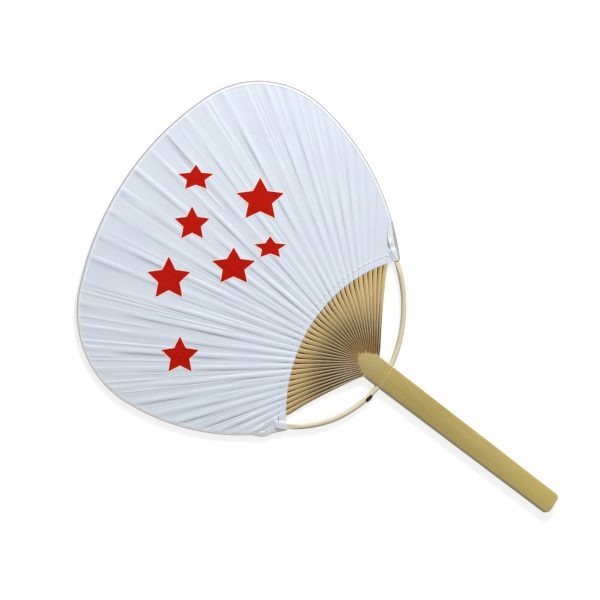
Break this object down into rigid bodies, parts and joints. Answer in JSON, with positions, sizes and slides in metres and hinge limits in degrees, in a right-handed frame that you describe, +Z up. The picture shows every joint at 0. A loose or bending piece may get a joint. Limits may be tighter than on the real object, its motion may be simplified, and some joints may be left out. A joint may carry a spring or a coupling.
{
  "type": "paper hand fan",
  "caption": "Flat paddle-shaped hand fan of split bamboo ribs between two sheets of white paper with plain red stars.",
  "frame": {"origin": "middle of the fan's outline, on the surface that it lies on", "axes": "+Y from the handle's end towards the head, +X across the head, +Z up out of the face with the stars"},
  "size_m": [0.241, 0.373, 0.0058],
  "materials": {
    "bamboo": "smooth bamboo skin, satin",
    "bow_bamboo": "scraped bamboo, matt",
    "thread": "twisted cotton",
    "front_paper": "matt, pasted over ribs",
    "back_paper": "matt, pasted over ribs",
    "rim_paper": "matt folded strip",
    "patch_paper": "matt, lightly creased",
    "red_ink": "flat printed red"
  },
  "bodies": {
    "root": {"handle_and_ribs": "bamboo", "bow": "bow_bamboo", "weaving_thread": "thread", "front_paper": "front_paper", "back_paper": "back_paper", "rim_tape": "rim_paper", "left_corner_patch": "patch_paper", "right_corner_patch": "patch_paper", "printed_stars": "red_ink"}
  },
  "joints": []
}
